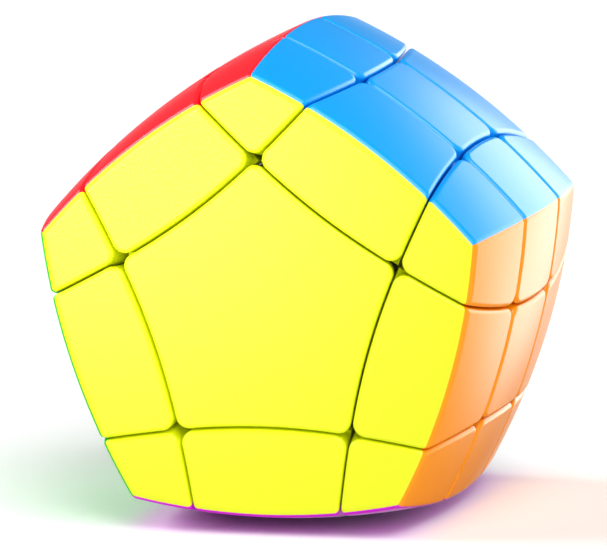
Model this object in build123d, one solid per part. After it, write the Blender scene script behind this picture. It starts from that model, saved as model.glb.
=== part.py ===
from build123d import *
import math
import os

# Pillowed pentagonal prism puzzle, three layers deep on every axis. Millimetres and degrees.
# It is laid out with the prism axis along Z and the yellow face up, and is turned over at the end,
# so that the yellow face looks along -Y and the edge between red and blue points up, along +Z.
# The origin is the centre of the core, where all seven turning axes meet.

# --- Driving dimensions: the outside ---
height = 51.0              # from the yellow face to the white face
face_apothem = 35.0        # prism axis to the middle of a coloured side face
pillow_radius = 106.0      # each side face is a patch of a sphere of this radius
middle_layer = 17.0        # thickness of the layer between the two pentagon layers
side_cut_depth = 12.2      # core centre to the apex of the cone that frees a side layer
side_cut_slope = 0.239     # how far that cone rises for each millimetre away from its axis
gap = 0.3                  # air between neighbouring pieces
crest_round = 1.6          # rounding where two colours of one piece meet
corner_round = 2.0         # rounding of a tile's corners, where four pieces meet
rim_round = 0.7            # rounding of a tile's rim
tile_depth = 29.0          # core centre to where the rounded tiles end and the square necks begin

# --- Driving dimensions: the mechanism ---
foot_outer_radius = 25.0   # sphere that the feet of edges and corners slide under
foot_angle = 55.0          # half angle that a side layer's feet cover, seen from the core centre
hub_radius = 4.8           # the centre piece's hub, which turns on its screw
hub_clearance = 0.1        # between a hub and the feet that pass beside it
hub_bottom = 12.0          # core centre to the underside of a hub
hub_play = 0.1             # between a hub and the core arm below it
hub_floor = 2.0            # plastic between the hub's underside and its spring
well_radius = 3.2          # well in the hub for spring, washer and screw head
core_ball_radius = 8.2
arm_radius = 4.4
screw_radius = 1.25
screw_hole_play = 0.2      # radial, where the screw passes through the hub's floor
thread_play = 0.02         # radial, where the screw sits in the core arm
screw_tip = 5.0            # core centre to the screw's tip
screw_head_radius = 2.9
screw_head_height = 1.7
socket_radius = 1.2        # hexagonal socket in the screw's head, across its corners
socket_depth = 1.0
head_room = 0.5            # air between a screw's head and the cap over it
washer_thickness = 0.5
spring_length = 5.0
spring_wire = 0.6          # wire diameter
spring_radius = 2.3        # to the middle of the wire
spring_turns = 4.5
spring_play = 0.05         # at each end of the spring
side_cap_thickness = 5.0   # coloured cap of a side centre, at its middle
pentagon_cap_thickness = 3.8
boss_radius = 5.0          # ring under a cap that clips into its base
boss_wall = 0.9
boss_length = 1.8
boss_play = 0.05

# --- Colours, clockwise from the upper right as seen from the yellow face ---
side_names = ["blue", "orange", "purple", "green", "red"]
pentagon_names = {1: "yellow", -1: "white"}
first_angle = 54.0         # direction of the blue face's normal

# --- Sizes that follow ---
side_count = len(side_names)
step = 360 / side_count
half_height = height / 2
half_middle = middle_layer / 2
half_gap = gap / 2
foot_half_row = hub_radius + hub_clearance + half_gap
foot_inner_radius = (foot_half_row + half_gap) / math.sin(math.radians(step - foot_angle))
spring_seat = hub_bottom + hub_floor
washer_seat = spring_seat + spring_length
head_seat = washer_seat + washer_thickness
head_ceiling = head_seat + screw_head_height + head_room
far = 3 * face_apothem
touching = 0.001                   # closer than this, a point lies on a surface
places_along = (0.13, 0.5, 0.87)   # where an edge is looked at, as shares of its length
volume_slack = 0.001               # share of a piece's volume that a good union may be out by


# --- Directions ---

def direction(angle):
    """A unit vector across the prism axis."""
    return Vector(math.cos(math.radians(angle)), math.sin(math.radians(angle)), 0)


def side_normal(i):
    """The outward normal of side face i; i + 0.5 is the direction of the edge after it."""
    return direction(first_angle - step * i)


up = Vector(0, 0, 1)
first_side = side_normal(0)
first_edge = side_normal(0.5)
corner_lean = 0.75         # a corner's tile rises this much for each millimetre outwards


# --- Turning layers ---
# A layer owns a body of revolution about its axis, so it turns without touching what stays behind.
# Outside the foot sphere that body starts at the visible cut. Inside it, it reaches further in,
# so the feet of edges and corners hook under the pieces beside them.

def leave_circle(start, along, radius):
    """Where a ray from inside a circle about the origin leaves it."""
    b = start[0] * along[0] + start[1] * along[1]
    c = start[0] ** 2 + start[1] ** 2 - radius ** 2
    reach = math.sqrt(b * b - c) - b
    return (start[0] + reach * along[0], start[1] + reach * along[1])


def layer_section(grow, cut_start, cut_along, foot_start, foot_along):
    """Half section of a layer's space: X is the distance from its axis and Y runs along it."""
    inner = foot_inner_radius - grow
    outer = foot_outer_radius + grow
    heel = leave_circle(foot_start, foot_along, inner)
    toe = leave_circle(foot_start, foot_along, outer)
    neck = leave_circle(cut_start, cut_along, outer)
    rim = (far * cut_along[0], cut_start[1] + far * cut_along[1])
    outline = [
        RadiusArc((0, inner), heel, inner),
        Line(heel, toe),
        RadiusArc(toe, neck, -outer),
        Polyline(neck, rim, (rim[0], 2 * far), (0, 2 * far), (0, inner)),
    ]
    return make_face(outline)


def side_layer(i, grow):
    """The space of side layer i, widened by grow: negative for its own pieces, positive to clear it."""
    size = math.hypot(1, side_cut_slope)
    cut_along = (1 / size, side_cut_slope / size)
    cut_start = (0, side_cut_depth - grow * size)
    spread = math.radians(foot_angle)
    foot_along = (math.sin(spread), math.cos(spread))
    foot_start = (grow * foot_along[1], -grow * foot_along[0])
    section = layer_section(grow, cut_start, cut_along, foot_start, foot_along)
    plane = Plane(origin=(0, 0, 0), x_dir=-up, z_dir=side_normal(i))
    return plane * revolve(Plane.XZ * section, Axis.Z)


def pentagon_layer(sign, grow):
    """The space of the yellow (1) or white (-1) layer, widened by grow."""
    cut_start = (0, half_middle - grow)
    foot_start = (0, foot_half_row - grow)
    section = layer_section(grow, cut_start, (1, 0), foot_start, (1, 0))
    plane = Plane(origin=(0, 0, 0), x_dir=-first_edge, z_dir=up * sign)
    return plane * revolve(Plane.XZ * section, Axis.Z)


def side_column(i, grow):
    """Only the visible cut of side layer i, as a cone that runs on to its apex."""
    size = math.hypot(1, side_cut_slope)
    apex = side_cut_depth - grow * size
    rim = (far, apex + far * side_cut_slope)
    outline = Polyline((0, apex), rim, (far, 2 * far), (0, 2 * far), close=True)
    plane = Plane(origin=(0, 0, 0), x_dir=-up, z_dir=side_normal(i))
    return plane * revolve(Plane.XZ * make_face(outline), Axis.Z)


def slab(low, high):
    """Everything between two levels on the prism axis."""
    return Pos(0, 0, (low + high) / 2) * Box(4 * far, 4 * far, high - low)


# --- The outside ---

def pillow_centre(i):
    return side_normal(i) * (face_apothem - pillow_radius)


def envelope():
    """The whole outer shape: a flat slab inside one large sphere for each side face."""
    prism = RegularPolygon(2 * face_apothem, side_count, rotation=first_angle)
    body = extrude(prism, half_height, both=True)
    for i in range(side_count):
        normal = side_normal(i)
        body &= Plane(origin=pillow_centre(i), x_dir=-normal, z_dir=up) * Sphere(pillow_radius)
    return body


def surfaces_at(point):
    """How many of the outer surfaces a point lies on."""
    count = 1 if abs(abs(point.Z) - half_height) < touching else 0
    for i in range(side_count):
        if abs((Vector(point) - pillow_centre(i)).length - pillow_radius) < touching:
            count += 1
    return count


def outer_edges(body, surfaces):
    """The edges that run along this many outer surfaces: 1 for a tile's rim, 2 where two colours meet."""
    found = []
    for edge in body.edges():
        seen = min(surfaces_at(edge.position_at(place)) for place in places_along)
        if seen == surfaces:
            found.append(edge)
    return found


def beyond(towards, distance):
    """All space further along a direction than this distance from the core centre."""
    towards = towards.normalized()
    return Plane(origin=towards * (distance + 2 * far), z_dir=towards) * Box(4 * far, 4 * far, 4 * far)


def rounded_tile(column, towards, low, shell):
    """The column beyond a level, cut to the outer shape, with its corners and rims rounded."""
    towards = towards.normalized()
    high = 2 * face_apothem
    column = column & (beyond(towards, low) - beyond(towards, high))
    column = column.solids().sort_by(lambda body: (body.center() - towards * high).length)[0]
    long_edges = []
    for edge in column.edges():
        reach = [Vector(edge.position_at(place)).dot(towards) for place in (0, 1)]
        if min(reach) < low + half_gap and max(reach) > high - half_gap:
            long_edges.append(edge)
    tile = fillet(long_edges, corner_round) & shell
    crests = outer_edges(tile, 2)
    if crests:
        tile = fillet(crests, crest_round)
    return fillet(outer_edges(tile, 1), rim_round).solids()[0]


def whole_piece(column, towards, mechanism, shell):
    """A rounded tile on the square neck and foot of the same piece."""
    neck = mechanism - beyond(towards, tile_depth)
    tile = rounded_tile(column, towards, tile_depth, shell)
    expected = tile.volume + neck.volume
    piece = tile + neck
    if piece.is_valid and abs(piece.volume - expected) < expected * volume_slack:
        return piece
    # The same solid the other way about: the whole piece less the shavings that the rounding removes.
    tile = rounded_tile(column, towards, tile_depth, shell)
    shavings = (mechanism & beyond(towards, tile_depth)) - tile
    return mechanism - shavings


# --- Edges and corners ---

def crest_cone(i):
    """The parting surface between a pentagon colour and side colour i, sloping in from the crest."""
    rim = math.sqrt(pillow_radius ** 2 - half_height ** 2)
    low = -half_middle
    high = half_height + gap
    outline = Polyline(
        (0, low), (rim + low - half_height, low), (rim + high - half_height, high), (0, high), close=True
    )
    plane = Plane(origin=pillow_centre(i), x_dir=-side_normal(i), z_dir=up)
    return plane * revolve(Plane.XZ * make_face(outline), Axis.Z)


def towards_side(i):
    """The half of space on side i's side of the plane between sides 0 and 1."""
    away = side_normal(0.5 + 1.25 * (1 if i == 1 else -1))
    return Plane(origin=away * far, x_dir=up, z_dir=away) * Box(4 * far, 4 * far, 2 * far)


def side_edge(shell):
    """The edge between sides 0 and 1, as its two coloured halves."""
    column = side_column(0, -half_gap) & side_column(1, -half_gap)
    column &= slab(half_gap - half_middle, half_middle - half_gap)
    mechanism = shell & side_layer(0, -half_gap) & side_layer(1, -half_gap)
    mechanism -= pentagon_layer(1, half_gap)
    mechanism -= pentagon_layer(-1, half_gap)
    piece = whole_piece(column, first_edge, mechanism, shell)
    return piece & towards_side(0), piece & towards_side(1)


def pentagon_edge(shell):
    """The edge between the yellow face and side 0, as its yellow and side halves."""
    column = side_column(0, -half_gap) & slab(half_middle + half_gap, far)
    column = column - side_column(1, half_gap) - side_column(-1, half_gap)
    mechanism = shell & pentagon_layer(1, -half_gap) & side_layer(0, -half_gap)
    mechanism -= side_layer(1, half_gap)
    mechanism -= side_layer(-1, half_gap)
    piece = whole_piece(column, first_side + up, mechanism, shell)
    return piece & crest_cone(0), piece - crest_cone(0)


def corner(shell):
    """The corner between the yellow face and sides 0 and 1, as its three coloured parts."""
    column = side_column(0, -half_gap) & side_column(1, -half_gap) & slab(half_middle + half_gap, far)
    mechanism = shell & pentagon_layer(1, -half_gap) & side_layer(0, -half_gap) & side_layer(1, -half_gap)
    piece = whole_piece(column, first_edge + up * corner_lean, mechanism, shell)
    cap = piece & crest_cone(0) & crest_cone(1)
    sides = piece - (crest_cone(0) & crest_cone(1))
    return cap, sides & towards_side(0), sides & towards_side(1)


# --- Centres ---

def well():
    """What is cut from a centre's base around the axis, which is Z: screw hole, well and cap socket."""
    hole = Pos(0, 0, far / 2) * Cylinder(screw_radius + screw_hole_play, far)
    return hole + Pos(0, 0, spring_seat + far / 2) * Cylinder(well_radius, far)


def hub():
    """The hub below the feet, which turns on the core arm, along Z."""
    top = foot_inner_radius + half_gap
    return Pos(0, 0, (hub_bottom + top) / 2) * Cylinder(hub_radius, top - hub_bottom)


def ring(radius, wall, low, high):
    body = Pos(0, 0, (low + high) / 2) * Cylinder(radius, high - low)
    return body - Pos(0, 0, (low + high) / 2) * Cylinder(radius - wall, high - low)


def cap_and_base(column, axis, mechanism, parting, shell):
    """A centre piece: its coloured cap, which clips on over the screw, and the base that it clips to."""
    along = Plane(origin=(0, 0, 0), z_dir=axis)
    boss_bottom = parting - boss_length
    cap = rounded_tile(column, axis, parting, shell)
    cap += along * ring(boss_radius - boss_play, boss_wall, boss_bottom, parting)
    cap -= along * Pos(0, 0, head_ceiling / 2) * Cylinder(well_radius, head_ceiling)
    base = mechanism - beyond(axis, parting)
    base += along * hub()
    base -= along * well()
    socket_bottom = boss_bottom - boss_play
    base -= along * (Pos(0, 0, (socket_bottom + far) / 2) * Cylinder(boss_radius, far - socket_bottom))
    return cap, base


def side_centre(shell):
    """The centre of side 0."""
    column = slab(half_gap - half_middle, half_middle - half_gap)
    column = column - side_column(1, half_gap) - side_column(-1, half_gap)
    mechanism = shell & beyond(first_side, 0)
    mechanism -= Sphere(foot_inner_radius + half_gap)
    for taken in (side_layer(1, half_gap), side_layer(-1, half_gap)):
        mechanism -= taken
    for sign in pentagon_names:
        mechanism -= pentagon_layer(sign, half_gap)
    return cap_and_base(column, first_side, mechanism, face_apothem - side_cap_thickness, shell)


def pentagon_centre(shell):
    """The centre of the yellow face."""
    column = slab(half_middle + half_gap, far)
    mechanism = shell & slab(foot_half_row, far)
    mechanism -= Sphere(foot_inner_radius + half_gap)
    for i in range(side_count):
        column -= side_column(i, half_gap)
        mechanism -= side_layer(i, half_gap)
    return cap_and_base(column, up, mechanism, half_height - pentagon_cap_thickness, shell)


# --- Core, screws and springs ---

def axes():
    """The seven turning axes."""
    return [up, -up] + [side_normal(i) for i in range(side_count)]


def core():
    """A ball with an arm and a threaded hole on every axis."""
    body = Sphere(core_ball_radius)
    top = hub_bottom - hub_play
    for axis in axes():
        body += Plane(origin=(0, 0, 0), z_dir=axis) * Pos(0, 0, top / 2) * Cylinder(arm_radius, top)
    for axis in axes():
        length = top - screw_tip
        hole = Pos(0, 0, screw_tip + length / 2) * Cylinder(screw_radius + thread_play, length)
        body -= Plane(origin=(0, 0, 0), z_dir=axis) * hole
    return body


def screw():
    length = head_seat - screw_tip
    body = Pos(0, 0, screw_tip + length / 2) * Cylinder(screw_radius, length)
    head = Pos(0, 0, head_seat + screw_head_height / 2) * Cylinder(screw_head_radius, screw_head_height)
    head = chamfer(head.edges().sort_by(Axis.Z)[-1], screw_head_height / 4)
    socket = extrude(RegularPolygon(socket_radius, 6), socket_depth)
    return body + head - Pos(0, 0, head_seat + screw_head_height - socket_depth) * socket


def washer():
    wall = screw_head_radius - screw_radius - thread_play
    return ring(screw_head_radius, wall, washer_seat, head_seat)


def spring():
    height_of_coil = spring_length - spring_wire - 2 * spring_play
    coil = Helix(height_of_coil / spring_turns, height_of_coil, spring_radius)
    wire = sweep(Plane(origin=coil @ 0, z_dir=coil % 0) * Circle(spring_wire / 2), path=coil)
    return Pos(0, 0, spring_seat + spring_play + spring_wire / 2) * wire


def on_every_axis(body):
    return Compound([Plane(origin=(0, 0, 0), z_dir=axis) * body for axis in axes()])


# --- Assembly ---

def placed(body, i, sign=1, flip_axis=first_side):
    """A copy of a piece of side 0 at side i, turned over into the white layer where sign is -1."""
    if sign < 0:
        body = body.rotate(Axis((0, 0, 0), flip_axis), 180)
    return body.rotate(Axis.Z, -step * i)


def save(body, name):
    """Turn a finished piece from the layout to its own place and write it."""
    export_step(body.rotate(Axis.X, 90), "parts/" + name + ".step")


def save_centres(shell):
    cap, base = side_centre(shell)
    for i, side in enumerate(side_names):
        save(placed(cap, i), side + "_centre_cap")
        save(placed(base, i), side + "_centre_base")
    cap, base = pentagon_centre(shell)
    for sign, pentagon in pentagon_names.items():
        save(placed(cap, 0, sign), pentagon + "_centre_cap")
        save(placed(base, 0, sign), pentagon + "_centre_base")


def save_edges(shell):
    first, second = side_edge(shell)
    for i, side in enumerate(side_names):
        after = side_names[(i + 1) % side_count]
        name = side + "_" + after + "_edge_"
        save(placed(first, i), name + side + "_half")
        save(placed(second, i), name + after + "_half")
    inner, outer = pentagon_edge(shell)
    for sign, pentagon in pentagon_names.items():
        for i, side in enumerate(side_names):
            name = pentagon + "_" + side + "_edge_"
            save(placed(inner, i, sign), name + pentagon + "_half")
            save(placed(outer, i, sign), name + side + "_half")


def save_corners(shell):
    parts = corner(shell)
    for sign, pentagon in pentagon_names.items():
        for i, side in enumerate(side_names):
            after = side_names[(i + 1) % side_count]
            colours = [placed(part, i, sign, first_edge) for part in parts]
            save(Compound(colours), pentagon + "_" + side + "_" + after + "_corner")


def build():
    os.makedirs("parts", exist_ok=True)
    shell = envelope()
    save(core(), "core")
    save(on_every_axis(screw()), "screws")
    save(on_every_axis(washer()), "washers")
    save(on_every_axis(spring()), "springs")
    save_centres(shell)
    save_edges(shell)
    save_corners(shell)


build()
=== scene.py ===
"""Pillowed pentagonal prism puzzle: coloured ABS pieces around a screwed and sprung nylon core.

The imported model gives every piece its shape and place. This file takes each corner apart into the
three coloured mouldings that it is clipped together from, gives every piece the finish of its
plastic or metal, and sets up a pale studio with the camera.
"""

import logging
import math
from dataclasses import dataclass, field
from enum import Enum

import bpy
from mathutils import Matrix, Vector

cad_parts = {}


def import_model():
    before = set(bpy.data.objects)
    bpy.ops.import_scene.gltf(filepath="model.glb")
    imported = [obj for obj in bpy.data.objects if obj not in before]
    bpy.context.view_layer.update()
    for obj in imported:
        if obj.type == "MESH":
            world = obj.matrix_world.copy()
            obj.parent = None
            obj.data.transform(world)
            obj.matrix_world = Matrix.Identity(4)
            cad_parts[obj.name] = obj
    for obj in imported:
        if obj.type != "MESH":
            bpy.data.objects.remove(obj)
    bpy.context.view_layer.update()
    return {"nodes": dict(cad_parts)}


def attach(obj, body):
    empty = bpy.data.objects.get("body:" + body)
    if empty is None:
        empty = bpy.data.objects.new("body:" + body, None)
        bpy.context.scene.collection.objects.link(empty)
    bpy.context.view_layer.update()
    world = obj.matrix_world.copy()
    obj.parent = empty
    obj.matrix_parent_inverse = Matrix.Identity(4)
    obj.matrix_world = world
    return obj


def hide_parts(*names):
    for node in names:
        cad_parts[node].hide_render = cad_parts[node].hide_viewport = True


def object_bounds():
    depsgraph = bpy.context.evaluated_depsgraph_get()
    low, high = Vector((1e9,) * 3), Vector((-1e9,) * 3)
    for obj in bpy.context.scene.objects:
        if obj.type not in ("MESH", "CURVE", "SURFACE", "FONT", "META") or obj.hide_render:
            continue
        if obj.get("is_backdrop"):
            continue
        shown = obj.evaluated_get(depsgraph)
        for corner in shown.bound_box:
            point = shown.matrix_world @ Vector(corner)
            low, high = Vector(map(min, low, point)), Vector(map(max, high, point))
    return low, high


MM = 0.001

# The sRGB curve: a straight toe, then a power.
TOE_END = 0.04045
TOE_SLOPE = 12.92
CURVE_OFFSET = 0.055
CURVE_POWER = 2.4

# Blender's noise stays mostly between these two values.
NOISE_LOW = 0.3
NOISE_HIGH = 0.7

log = logging.getLogger("puzzle")


class Side(Enum):
    """The five side faces and the direction of each one's normal, in degrees from +X towards +Z."""

    BLUE = 54
    ORANGE = -18
    PURPLE = -90
    GREEN = -162
    RED = 126

    def normal(self) -> Vector:
        """Give the outward normal of the face.

        Returns:
            The unit normal, across the prism's axis.
        """
        angle = math.radians(self.value)
        return Vector((math.cos(angle), 0.0, math.sin(angle)))

    def plastic(self) -> str:
        """Give the name of the face's plastic.

        Returns:
            The face's colour in small letters, as in FINISHES.
        """
        return self.name.lower()


class Pentagon(Enum):
    """The two pentagonal faces and the sign of Y that each one is on."""

    YELLOW = -1
    WHITE = 1

    def plastic(self) -> str:
        """Give the name of the face's plastic.

        Returns:
            The face's colour in small letters, as in FINISHES.
        """
        return self.name.lower()


class Surface(Enum):
    """How a surface was made, and the noise detail that this leaves in its grain."""

    SPARKED = 3.0
    MOULDED_OR_DRAWN = 2.0
    POLISHED_OR_PLATED = 1.0


def linear(code: str) -> tuple[float, float, float, float]:
    """Turn an sRGB hex value into linear colour.

    Args:
        code: Six hexadecimal digits.

    Returns:
        Linear red, green and blue, and an alpha of one.
    """
    channels = [int(code[i : i + 2], 16) / 255 for i in (0, 2, 4)]
    red, green, blue = (
        c / TOE_SLOPE if c <= TOE_END else ((c + CURVE_OFFSET) / (1 + CURVE_OFFSET)) ** CURVE_POWER
        for c in channels
    )
    return (red, green, blue, 1.0)


def per_metre(size_mm: float) -> float:
    """Give a texture scale.

    Args:
        size_mm: How wide the texture's features are, in millimetres.

    Returns:
        The scale, in features per metre.
    """
    return 1.0 / (size_mm * MM)


def add_node(
    tree: bpy.types.NodeTree,
    kind: str,
    settings: dict[str | int, object] | None = None,
    links: dict[str | int, bpy.types.NodeSocket] | None = None,
) -> bpy.types.Node:
    """Add a shader node with its settings and the links into it.

    Args:
        tree: The node tree that gets the node.
        kind: Blender's name for the kind of node.
        settings: Attributes of the node, and input values by socket name or number.
        links: Sockets to link from, by the name or number of the input.

    Returns:
        The new node.
    """
    node = tree.nodes.new(kind)
    for name, value in (settings or {}).items():
        if isinstance(name, str) and hasattr(node, name):
            setattr(node, name, value)
        else:
            node.inputs[name].default_value = value
    for name, source in (links or {}).items():
        tree.links.new(source, node.inputs[name])
    return node


@dataclass(frozen=True)
class Finish:
    """A surface finish: what the piece is made of, and what its making leaves on its surface."""

    name: str
    colour: str
    surface: Surface
    roughness: float
    roughness_spread: float = 0.06
    ior: float = 1.53
    metallic: float = 0.0
    grain_mm: float = 0.3
    grain_height_mm: float = 0.004
    flow_mm: float = 11.0
    flow_shade: float = 0.05
    flow_detail: float = 2.0
    flow_distortion: float = 0.8

    def material(self) -> bpy.types.Material:
        """Build the finish as a node material on the piece's Object coordinates.

        Returns:
            The material, with its grain in roughness and bump, and its flow marks in colour.
        """
        material = bpy.data.materials.new(self.name)
        material.use_nodes = True
        tree = material.node_tree
        tree.nodes.clear()
        place = {"Vector": add_node(tree, "ShaderNodeTexCoord").outputs["Object"]}
        grain_settings = {"Scale": per_metre(self.grain_mm), "Detail": self.surface.value}
        grain = add_node(tree, "ShaderNodeTexNoise", grain_settings, place).outputs["Fac"]
        flow_settings = {
            "Scale": per_metre(self.flow_mm),
            "Detail": self.flow_detail,
            "Distortion": self.flow_distortion,
        }
        flow = add_node(tree, "ShaderNodeTexNoise", flow_settings, place).outputs["Fac"]
        tint = add_node(
            tree,
            "ShaderNodeMix",
            {"data_type": "RGBA", 6: self.shaded(1.0 - self.flow_shade), 7: self.shaded(1.0)},
            {0: flow},
        )
        gloss = add_node(
            tree,
            "ShaderNodeMapRange",
            {
                "From Min": NOISE_LOW,
                "From Max": NOISE_HIGH,
                "To Min": self.roughness - self.roughness_spread,
                "To Max": self.roughness + self.roughness_spread,
            },
            {"Value": grain},
        )
        bump = add_node(
            tree,
            "ShaderNodeBump",
            {"Strength": 1.0, "Distance": self.grain_height_mm * MM},
            {"Height": grain},
        )
        shader = add_node(
            tree,
            "ShaderNodeBsdfPrincipled",
            {"IOR": self.ior, "Metallic": self.metallic},
            {
                "Base Color": tint.outputs[2],
                "Roughness": gloss.outputs["Result"],
                "Normal": bump.outputs["Normal"],
            },
        )
        add_node(tree, "ShaderNodeOutputMaterial", {}, {"Surface": shader.outputs["BSDF"]})
        return material

    def shaded(self, share: float) -> tuple[float, float, float, float]:
        """Give the finish's colour, darkened.

        Args:
            share: The share of its brightness that is kept.

        Returns:
            Linear red, green and blue, and alpha.
        """
        red, green, blue, alpha = linear(self.colour)
        return (red * share, green * share, blue * share, alpha)


def frosted_abs(colour: str, code: str) -> Finish:
    """Describe ABS from a spark-eroded mould: an even frost that scatters light and looks bright.

    Args:
        colour: The plastic's colour, for the material's name.
        code: The plastic's sRGB hex value.

    Returns:
        The finish, with a grain coarser than a real frost.
    """
    return Finish(f"abs_{colour}_frosted", code, Surface.SPARKED, 0.42, 0.1, grain_height_mm=0.04)


def satin_abs(colour: str, code: str) -> Finish:
    """Describe ABS from a lightly polished mould: smooth, with a soft broad shine at low angles.

    Args:
        colour: The plastic's colour, for the material's name.
        code: The plastic's sRGB hex value.

    Returns:
        The finish, with hardly any grain.
    """
    name = f"abs_{colour}_satin"
    return Finish(name, code, Surface.POLISHED_OR_PLATED, 0.3, 0.02, grain_mm=0.6, grain_height_mm=0.0003)


FINISHES = {
    "yellow": frosted_abs("yellow", "E4EE00"),
    "white": frosted_abs("white", "F1F1EE"),
    "blue": satin_abs("blue", "00A6FF"),
    "orange": satin_abs("orange", "FF9A00"),
    "purple": satin_abs("purple", "D400D8"),
    "green": satin_abs("green", "00CE1C"),
    "red": satin_abs("red", "FF1528"),
    # Near-black with a low sheen, so that the gaps where four tiles meet stay dark.
    "black": Finish("abs_black_moulded", "141416", Surface.MOULDED_OR_DRAWN, 0.34, grain_height_mm=0.002),
    # A warm off-white, duller than the coloured plastics.
    "nylon": Finish("nylon_natural_moulded", "DAD6C8", Surface.MOULDED_OR_DRAWN, 0.45, grain_height_mm=0.004),
    # A pale cool metal with soft reflections.
    "zinc": Finish("steel_zinc_plated", "C9CBCF", Surface.POLISHED_OR_PLATED, 0.28, metallic=1.0, ior=1.5),
    # A darker and sharper metal than the zinc.
    "wire": Finish(
        "steel_spring_wire_drawn", "A9ABAF", Surface.MOULDED_OR_DRAWN, 0.22, metallic=1.0, ior=1.5
    ),
}


@dataclass
class Plastics:
    """The materials of the puzzle, each made once and shared by the pieces that have it."""

    made: dict[str, bpy.types.Material] = field(default_factory=dict)

    def dress(self, piece: bpy.types.Object, name: str) -> None:
        """Give a piece one finish all over.

        Args:
            piece: The piece to dress.
            name: The finish's name in FINISHES.
        """
        if name not in self.made:
            self.made[name] = FINISHES[name].material()
        piece.data.materials.clear()
        piece.data.materials.append(self.made[name])
        log.info("%s: %s", piece.name, FINISHES[name].name)


@dataclass
class Mechanism:
    """The nylon core with its screws, washers and springs, and the black bases on its arms."""

    finishes: dict[str, str] = field(
        default_factory=lambda: {"core": "nylon", "screws": "zinc", "washers": "zinc", "springs": "wire"}
    )
    base_ending: str = "_centre_base"

    def build(self, nodes: dict[str, bpy.types.Object], plastics: Plastics) -> None:
        """Dress what the puzzle turns on.

        Args:
            nodes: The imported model's nodes by name.
            plastics: The shared materials.
        """
        for name, finish in self.finishes.items():
            plastics.dress(nodes[name], finish)
        for name in sorted(nodes):
            if name.endswith(self.base_ending):
                plastics.dress(nodes[name], "black")


@dataclass
class Centres:
    """The seven coloured caps over the centre bases."""

    ending: str = "_centre_cap"

    def build(self, nodes: dict[str, bpy.types.Object], plastics: Plastics) -> None:
        """Dress each cap in the plastic of its face.

        Args:
            nodes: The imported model's nodes by name.
            plastics: The shared materials.
        """
        for face in (*Pentagon, *Side):
            plastics.dress(nodes[face.plastic() + self.ending], face.plastic())


@dataclass
class Edges:
    """The fifteen edge pieces, each clipped together from two coloured halves."""

    ending: str = "_half"

    def build(self, nodes: dict[str, bpy.types.Object], plastics: Plastics) -> None:
        """Dress each half in the plastic that its name ends with.

        Args:
            nodes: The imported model's nodes by name.
            plastics: The shared materials.
        """
        for name in sorted(nodes):
            if name.endswith(self.ending):
                plastics.dress(nodes[name], name.removesuffix(self.ending).split("_")[-1])


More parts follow.
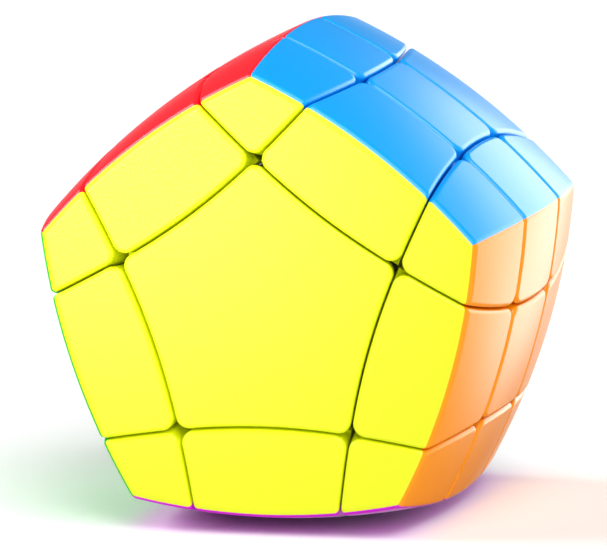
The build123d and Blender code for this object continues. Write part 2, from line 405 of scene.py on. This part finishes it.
@dataclass
class Corners:
    """The ten corner pieces, each clipped together from three coloured parts."""

    merge_distance: float = 0.001 * MM
    place_decimals: int = 6

    def build(self, nodes: dict[str, bpy.types.Object], plastics: Plastics) -> None:
        """Take every corner apart into its coloured parts, and dress them.

        Args:
            nodes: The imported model's nodes by name.
            plastics: The shared materials.
        """
        for pentagon in Pentagon:
            for first, second in zip(Side, (*list(Side)[1:], Side.BLUE)):
                name = f"{pentagon.plastic()}_{first.plastic()}_{second.plastic()}_corner"
                parts = self.take_apart(nodes[name])
                parts.sort(key=lambda part: self.middle(part).y * pentagon.value)
                self.finish_part(parts.pop(), name, pentagon.plastic(), plastics)
                parts.sort(key=lambda part: self.middle(part).dot(first.normal() - second.normal()))
                self.finish_part(parts.pop(), name, first.plastic(), plastics)
                self.finish_part(parts.pop(), name, second.plastic(), plastics)

    def take_apart(self, node: bpy.types.Object) -> list[bpy.types.Object]:
        """Copy a corner and separate its solids.

        Args:
            node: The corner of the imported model, whose mesh holds one solid after the other.

        Returns:
            One object for each solid.
        """
        rest = node.copy()
        rest.data = node.data.copy()
        rest.parent = None
        bpy.context.scene.collection.objects.link(rest)
        for key in list(rest.keys()):
            del rest[key]
        parts = [rest]
        count = self.faces_of_first_solid(rest.data)
        while count < len(rest.data.polygons):
            parts.append(self.separate(rest, count))
            count = self.faces_of_first_solid(rest.data)
        return parts

    def faces_of_first_solid(self, mesh: bpy.types.Mesh) -> int:
        """Count a mesh's faces up to where every edge has met its twin, which closes a solid.

        Args:
            mesh: A mesh whose vertices may be doubled.

        Returns:
            The number of faces in the first solid.
        """
        places = [vertex.co.to_tuple(self.place_decimals) for vertex in mesh.vertices]
        single = set()
        for face in mesh.polygons:
            ring = [places[index] for index in face.vertices]
            for start, end in zip(ring, ring[1:] + ring[:1]):
                if (end, start) in single:
                    single.remove((end, start))
                elif start != end:
                    single.add((start, end))
            if not single:
                return face.index + 1
        return len(mesh.polygons)

    def separate(self, piece: bpy.types.Object, count: int) -> bpy.types.Object:
        """Part the first faces of a piece from the rest of it.

        Args:
            piece: The piece that keeps the rest.
            count: How many faces part.

        Returns:
            The new piece.
        """
        bpy.ops.object.select_all(action="DESELECT")
        bpy.context.view_layer.objects.active = piece
        piece.select_set(True)
        bpy.ops.object.mode_set(mode="EDIT")
        bpy.ops.mesh.select_mode(type="FACE")
        bpy.ops.mesh.select_all(action="DESELECT")
        bpy.ops.object.mode_set(mode="OBJECT")
        piece.data.polygons.foreach_set("select", [i < count for i in range(len(piece.data.polygons))])
        bpy.ops.object.mode_set(mode="EDIT")
        bpy.ops.mesh.separate(type="SELECTED")
        bpy.ops.object.mode_set(mode="OBJECT")
        return next(chosen for chosen in bpy.context.selected_objects if chosen is not piece)

    def middle(self, piece: bpy.types.Object) -> Vector:
        """Give the middle of a piece's vertices.

        Args:
            piece: The piece, whose mesh is in the shared frame.

        Returns:
            The mean of its vertices.
        """
        return sum((vertex.co for vertex in piece.data.vertices), Vector()) / len(piece.data.vertices)

    def finish_part(self, part: bpy.types.Object, corner: str, plastic: str, plastics: Plastics) -> None:
        """Weld a part's mesh, name and dress it, and hang it on its corner's body.

        Args:
            part: The separated part.
            corner: The corner's node, which is also the name of its body.
            plastic: The name of the part's plastic.
            plastics: The shared materials.
        """
        bpy.ops.object.select_all(action="DESELECT")
        bpy.context.view_layer.objects.active = part
        part.select_set(True)
        bpy.ops.object.mode_set(mode="EDIT")
        bpy.ops.mesh.select_all(action="SELECT")
        bpy.ops.mesh.remove_doubles(threshold=self.merge_distance, use_sharp_edge_from_normals=True)
        bpy.ops.object.mode_set(mode="OBJECT")
        part.name = f"{corner}_{plastic}_part"
        part.data.name = part.name
        plastics.dress(part, plastic)
        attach(part, corner)
        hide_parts(corner)


def towards(azimuth: float, elevation: float) -> Vector:
    """Turn two angles into a direction.

    Args:
        azimuth: Degrees from the yellow face's side towards +X.
        elevation: Degrees above the horizon.

    Returns:
        The unit direction out from the puzzle.
    """
    turn = math.radians(azimuth)
    rise = math.radians(elevation)
    return Vector((math.sin(turn) * math.cos(rise), -math.cos(turn) * math.cos(rise), math.sin(rise)))


@dataclass(frozen=True)
class Glow:
    """A large soft light on the room's walls or ceiling, round, with a blurred edge."""

    azimuth: float
    elevation: float
    inner: float
    outer: float
    radiance: float

    def add(self, tree: bpy.types.NodeTree, way: bpy.types.NodeSocket) -> bpy.types.NodeSocket:
        """Add the glow's nodes to the room.

        Args:
            tree: The world's node tree.
            way: The direction looked in.

        Returns:
            The glow's radiance in that direction.
        """
        settings = {"operation": "DOT_PRODUCT", 1: towards(self.azimuth, self.elevation)}
        facing = add_node(tree, "ShaderNodeVectorMath", settings, {0: way}).outputs["Value"]
        edge = {
            "interpolation_type": "SMOOTHSTEP",
            "From Min": math.cos(math.radians(self.outer)),
            "From Max": math.cos(math.radians(self.inner)),
            "To Max": self.radiance,
        }
        return add_node(tree, "ShaderNodeMapRange", edge, {"Value": facing}).outputs["Result"]


@dataclass(frozen=True)
class KeySpot:
    """A weak soft spot that brightens the upper left of the yellow face."""

    azimuth: float = -24.0
    elevation: float = -2.0
    distance: float = 1.0
    aim: tuple[float, float, float] = (-0.03, -0.025, 0.035)
    beam_radius: float = 0.066
    lamp_radius: float = 0.025
    power: float = 30.0

    def hang(self) -> None:
        """Add the light, which is seen only by what it lights."""
        data = bpy.data.lights.new("key_spot", "SPOT")
        data.energy = self.power
        data.shadow_soft_size = self.lamp_radius
        data.spot_size = 2.0 * math.atan(self.beam_radius / self.distance)
        data.spot_blend = 1.0
        light = bpy.data.objects.new("key_spot", data)
        out = towards(self.azimuth, self.elevation)
        light.location = Vector(self.aim) + out * self.distance
        light.rotation_euler = out.to_track_quat("Z", "Y").to_euler()
        light.visible_camera = False
        bpy.context.scene.collection.objects.link(light)


@dataclass
class Studio:
    """A pale floor in a white room with large soft lights."""

    fill: float = 0.12
    floor_size: float = 40.0
    floor_colour: str = "FAFAFA"
    floor_roughness: float = 0.9
    glows: tuple[Glow, ...] = (
        Glow(155.0, 2.0, 22.0, 31.0, 5.2),
        Glow(-165.0, -10.0, 6.0, 16.0, 1.4),
        Glow(29.0, 24.0, 18.0, 32.0, 2.6),
        Glow(40.0, 56.0, 14.0, 26.0, 6.0),
        Glow(-86.0, 34.0, 12.0, 24.0, 8.0),
    )
    key: KeySpot = KeySpot()

    def room(self) -> None:
        """Light the room: an even fill and the soft lights. The walls themselves look white."""
        world = bpy.data.worlds.new("studio_room")
        bpy.context.scene.world = world
        world.use_nodes = True
        tree = world.node_tree
        tree.nodes.clear()
        way = add_node(tree, "ShaderNodeTexCoord").outputs["Generated"]
        total = add_node(tree, "ShaderNodeValue").outputs["Value"]
        total.default_value = self.fill
        for glow in self.glows:
            both = {0: total, 1: glow.add(tree, way)}
            total = add_node(tree, "ShaderNodeMath", {"operation": "ADD"}, both).outputs["Value"]
        lit = add_node(tree, "ShaderNodeBackground", {}, {"Strength": total}).outputs["Background"]
        seen = add_node(tree, "ShaderNodeBackground", {"Color": (1, 1, 1, 1)}).outputs["Background"]
        ray = add_node(tree, "ShaderNodeLightPath").outputs["Is Camera Ray"]
        mix = add_node(tree, "ShaderNodeMixShader", {}, {0: ray, 1: lit, 2: seen})
        add_node(tree, "ShaderNodeOutputWorld", {}, {"Surface": mix.outputs["Shader"]})

    def floor(self, height: float) -> None:
        """Lay the pale floor that the puzzle stands on.

        Args:
            height: Where the floor is, in metres.
        """
        bpy.ops.object.select_all(action="DESELECT")
        bpy.ops.mesh.primitive_plane_add(size=self.floor_size, location=(0, 0, height))
        floor = bpy.context.object
        floor.name = "floor"
        floor.visible_glossy = False
        # White card: matt all over, so that it takes soft shadows and a little of each tile's colour.
        material = bpy.data.materials.new("floor_white_card")
        material.use_nodes = True
        shader = material.node_tree.nodes["Principled BSDF"]
        shader.inputs["Base Color"].default_value = linear(self.floor_colour)
        shader.inputs["Roughness"].default_value = self.floor_roughness
        floor.data.materials.append(material)
        floor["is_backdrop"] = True

    def build(self, floor_height: float) -> None:
        """Set up the room, the floor and the key light.

        Args:
            floor_height: The lowest point of the puzzle, in metres.
        """
        bpy.context.scene.view_settings.view_transform = "Standard"
        self.room()
        self.floor(floor_height)
        self.key.hang()


@dataclass
class Viewpoint:
    """The camera: a long lens, a little to the right of the yellow face and above it."""

    azimuth: float = 18.82
    elevation: float = 10.87
    roll: float = 1.94
    distance: float = 2.2
    aim: tuple[float, float, float] = (-0.00113, -0.00032, 0.00033)
    width_seen: float = 0.09323
    sensor: float = 36.0
    nearest: float = 0.1
    farthest: float = 50.0

    def build(self) -> None:
        """Add the camera and make it the scene's."""
        data = bpy.data.cameras.new("camera")
        data.sensor_width = self.sensor
        data.lens = self.sensor * self.distance / self.width_seen
        data.clip_start = self.nearest
        data.clip_end = self.farthest
        camera = bpy.data.objects.new("camera", data)
        out = towards(self.azimuth, self.elevation)
        camera.location = Vector(self.aim) + out * self.distance
        level = out.to_track_quat("Z", "Y").to_matrix().to_4x4()
        camera.rotation_euler = (level @ Matrix.Rotation(math.radians(-self.roll), 4, "Z")).to_euler()
        bpy.context.scene.collection.objects.link(camera)
        bpy.context.scene.camera = camera


def main() -> None:
    """Load the frame, dress the puzzle from the inside out, and set up the studio."""
    logging.basicConfig(level=logging.INFO, format="%(message)s")
    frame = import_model()
    plastics = Plastics()
    for group in (Mechanism(), Centres(), Edges(), Corners()):
        group.build(frame["nodes"], plastics)
    Studio().build(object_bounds()[0].z)
    Viewpoint().build()


if __name__ == "__main__":
    main()
